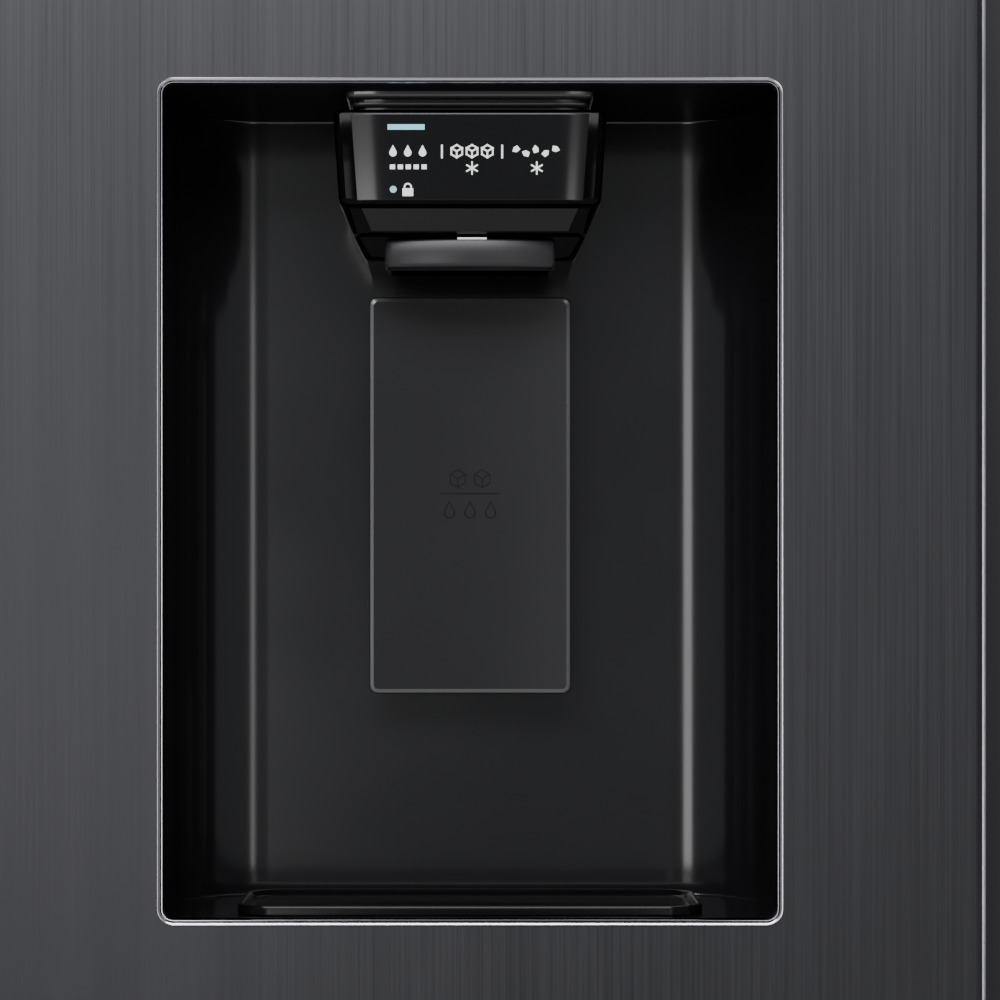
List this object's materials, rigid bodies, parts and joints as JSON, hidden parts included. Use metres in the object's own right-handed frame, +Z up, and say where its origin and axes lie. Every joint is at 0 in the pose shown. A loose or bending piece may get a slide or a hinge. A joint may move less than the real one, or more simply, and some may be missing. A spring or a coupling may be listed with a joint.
{
  "type": "side by side refrigerator",
  "caption": "Side by side refrigerator with brushed dark doors, recessed vertical grips and an ice and water dispenser in the freezer door.",
  "frame": {"origin": "middle of the footprint, on the floor", "axes": "+Z up, the doors face -Y, +X is to the right as seen from the front"},
  "size_m": [0.912, 0.85, 1.78],
  "materials": {
    "dark_steel": "vertical brushed, dark graphite coating",
    "cabinet_paint": "fine textured dark grey paint",
    "zinc_steel": "galvanised sheet",
    "hinge_steel": "painted steel plate",
    "foam": "rigid foam, sealed inside",
    "liner_white": "thermoformed, light gloss",
    "part_white": "moulded, satin",
    "clear_plastic": "clear moulded",
    "shelf_glass": "tempered, polished",
    "seal_grey": "soft extruded seal",
    "black_plastic": "moulded, satin black",
    "recess_black": "moulded, gloss black",
    "display_black": "deep gloss black window",
    "trim_metal": "polished edge",
    "paddle_grey": "satin graphite",
    "spout_grey": "satin grey",
    "compressor_black": "enamel",
    "coil_metal": "enamelled steel tube",
    "fin_aluminium": "mill finish",
    "stainless": "polished steel",
    "lamp": "diffusing",
    "tyre_grey": "hard roller"
  },
  "bodies": {
    "cabinet": {"cabinet_shell": "cabinet_paint", "cabinet_foam": "foam", "freezer_liner": "liner_white", "fridge_liner": "liner_white", "front_frame": "zinc_steel", "back_panel": "zinc_steel", "base_frame": "zinc_steel", "machine_cover": "cabinet_paint", "toe_grille": "black_plastic", "compressor": "compressor_black", "condenser_coil": "coil_metal", "condenser_fan_motor": "black_plastic", "evaporator": "fin_aluminium", "air_duct": "liner_white", "top_hinges": "hinge_steel", "bottom_hinges": "hinge_steel", "hinge_covers": "cabinet_paint", "rear_fittings": "black_plastic", "freezer_shelves": "part_white", "shelf_glass": "shelf_glass", "shelf_frames": "part_white", "lamp_panels": "lamp", "filter_head": "part_white"},
    "condenser_fan": {"condenser_fan_blade": "black_plastic"},
    "evaporator_fan": {"evaporator_fan_blade": "black_plastic"},
    "filter": {"water_filter": "part_white"},
    "left_foot": {"left_foot": "black_plastic"},
    "right_foot": {"right_foot": "black_plastic"},
    "left_roller": {"left_roller": "tyre_grey"},
    "right_roller": {"right_roller": "tyre_grey"},
    "upper_crisper": {"upper_crisper": "clear_plastic"},
    "lower_crisper": {"lower_crisper": "clear_plastic"},
    "upper_freezer_drawer": {"upper_freezer_drawer": "clear_plastic"},
    "lower_freezer_drawer": {"lower_freezer_drawer": "clear_plastic"},
    "freezer_door": {"freezer_door_skin": "dark_steel", "freezer_door_caps": "black_plastic", "freezer_door_grip": "black_plastic", "freezer_door_foam": "foam", "freezer_door_liner": "liner_white", "freezer_door_gasket": "seal_grey", "freezer_door_bins": "clear_plastic", "ice_maker": "part_white", "ice_bucket": "clear_plastic", "dispenser_tub": "recess_black", "dispenser_trim": "trim_metal", "control_housing": "recess_black", "display_panel": "display_black", "chute_nozzle": "spout_grey"},
    "auger": {"ice_auger": "stainless"},
    "flap": {"chute_flap": "black_plastic"},
    "paddle": {"dispenser_paddle": "paddle_grey"},
    "tray": {"drip_tray": "recess_black"},
    "fridge_door": {"fridge_door_skin": "dark_steel", "fridge_door_caps": "black_plastic", "fridge_door_grip": "black_plastic", "fridge_door_foam": "foam", "fridge_door_liner": "liner_white", "fridge_door_gasket": "seal_grey", "fridge_door_bins": "clear_plastic"},
    "dairy_lid": {"dairy_lid": "clear_plastic"}
  },
  "joints": [
    {"name": "freezer_door_swing", "type": "hinge", "parent": "cabinet", "child": "freezer_door", "pos_m": [-0.44, -0.379, 0.9], "axis": [0, 0, -1], "range_deg": [0, 130]},
    {"name": "fridge_door_swing", "type": "hinge", "parent": "cabinet", "child": "fridge_door", "pos_m": [0.44, -0.379, 0.9], "axis": [0, 0, 1], "range_deg": [0, 130]},
    {"name": "paddle_push", "type": "hinge", "parent": "freezer_door", "child": "paddle", "pos_m": [-0.256, -0.351, 1.2276], "axis": [1, 0, 0], "range_deg": [0, 4.5], "stiffness_Nm_per_rad": 1.5, "springref_deg": -5.73},
    {"name": "flap_open", "type": "hinge", "parent": "freezer_door", "child": "flap", "pos_m": [-0.256, -0.35, 1.3076], "axis": [1, 0, 0], "range_deg": [0, 60], "stiffness_Nm_per_rad": 0.08, "springref_deg": -28.65},
    {"name": "tray_lift", "type": "slide", "parent": "freezer_door", "child": "tray", "axis": [0, 0, 1], "range_m": [0, 0.025]},
    {"name": "auger_turn", "type": "hinge", "parent": "freezer_door", "child": "auger", "pos_m": [-0.256, -0.27, 1.464], "axis": [0, 1, 0], "continuous": true},
    {"name": "dairy_lid_lift", "type": "hinge", "parent": "fridge_door", "child": "dairy_lid", "pos_m": [0.212, -0.324, 1.588], "axis": [1, 0, 0], "range_deg": [0, 75]},
    {"name": "upper_crisper_slide", "type": "slide", "parent": "cabinet", "child": "upper_crisper", "axis": [0, -1, 0], "range_m": [0, 0.14]},
    {"name": "lower_crisper_slide", "type": "slide", "parent": "cabinet", "child": "lower_crisper", "axis": [0, -1, 0], "range_m": [0, 0.14]},
    {"name": "upper_freezer_drawer_slide", "type": "slide", "parent": "cabinet", "child": "upper_freezer_drawer", "axis": [0, -1, 0], "range_m": [0, 0.14]},
    {"name": "lower_freezer_drawer_slide", "type": "slide", "parent": "cabinet", "child": "lower_freezer_drawer", "axis": [0, -1, 0], "range_m": [0, 0.14]},
    {"name": "filter_twist", "type": "hinge", "parent": "cabinet", "child": "filter", "pos_m": [0.333, 0.1, 1.654], "axis": [0, 1, 0], "range_deg": [0, 90]},
    {"name": "condenser_fan_spin", "type": "hinge", "parent": "cabinet", "child": "condenser_fan", "pos_m": [-0.016, 0.283, 0.148], "axis": [1, 0, 0], "continuous": true},
    {"name": "evaporator_fan_spin", "type": "hinge", "parent": "cabinet", "child": "evaporator_fan", "pos_m": [-0.2345, 0.316, 1.04], "axis": [0, 1, 0], "continuous": true},
    {"name": "left_foot_turn", "type": "hinge", "parent": "cabinet", "child": "left_foot", "pos_m": [-0.411, -0.285, 0.02], "axis": [0, 0, 1], "continuous": true},
    {"name": "right_foot_turn", "type": "hinge", "parent": "cabinet", "child": "right_foot", "pos_m": [0.411, -0.285, 0.02], "axis": [0, 0, 1], "continuous": true},
    {"name": "left_roller_roll", "type": "hinge", "parent": "cabinet", "child": "left_roller", "pos_m": [-0.411, 0.34, 0.016], "axis": [1, 0, 0], "continuous": true},
    {"name": "right_roller_roll", "type": "hinge", "parent": "cabinet", "child": "right_roller", "pos_m": [0.411, 0.34, 0.016], "axis": [1, 0, 0], "continuous": true}
  ]
}
